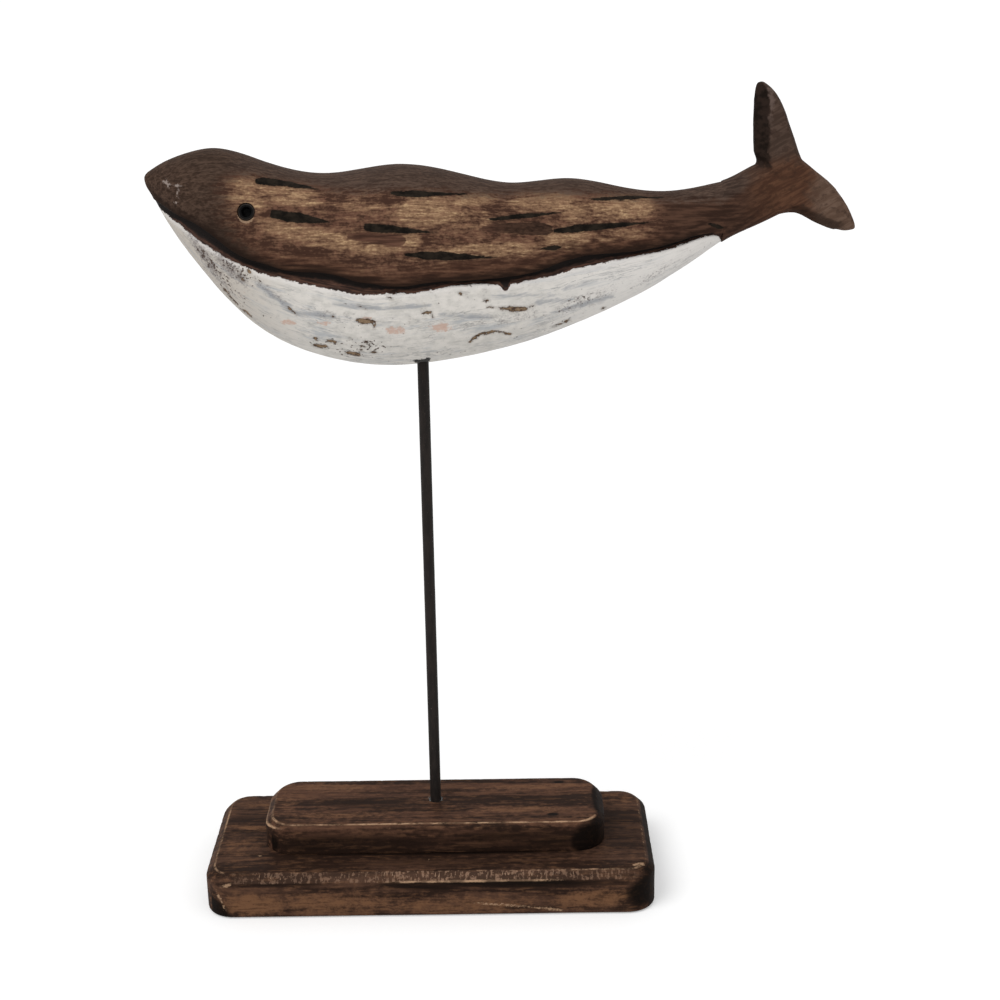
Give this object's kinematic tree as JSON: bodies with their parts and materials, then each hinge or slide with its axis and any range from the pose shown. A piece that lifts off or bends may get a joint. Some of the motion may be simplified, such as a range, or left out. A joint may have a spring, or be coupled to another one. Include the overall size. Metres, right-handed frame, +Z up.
{
  "type": "whale figurine",
  "caption": "Carved wooden whale ornament with a dark stained back and a distressed white belly, standing on a thin steel rod above a stepped wooden base.",
  "frame": {"origin": "centre of the lower board's underside, on the surface that it stands on", "axes": "+X from the whale's nose to its tail, +Y away from the viewer of the picture, +Z up"},
  "size_m": [0.258, 0.07, 0.3144],
  "materials": {
    "board_stain": "dark stained, edges rubbed pale",
    "plinth_stain": "dark stained, edges rubbed pale",
    "screw_steel": "zinc plated",
    "rod_black": "matt black",
    "back_stain": "dark stain rubbed back to the grain",
    "belly_paint": "distressed matt white paint",
    "tail_stain": "reddish dark stain",
    "dowel_wood": "plain",
    "eye_metal": "dark, dull"
  },
  "bodies": {
    "stand": {"lower_board": "board_stain", "upper_plinth": "plinth_stain", "plinth_screws": "screw_steel"},
    "rod": {"support_rod": "rod_black"},
    "whale": {"whale_back": "back_stain", "whale_belly": "belly_paint", "whale_tail": "tail_stain", "tail_dowel": "dowel_wood", "left_eye": "eye_metal", "right_eye": "eye_metal"}
  },
  "joints": [
    {"name": "rod_turn", "type": "hinge", "parent": "stand", "child": "rod", "pos_m": [0, 0.0028, 0.0313], "axis": [0, 0, 1], "continuous": true},
    {"name": "whale_lift", "type": "slide", "parent": "rod", "child": "whale", "axis": [0, 0, 1], "range_m": [0, 0.046]}
  ]
}
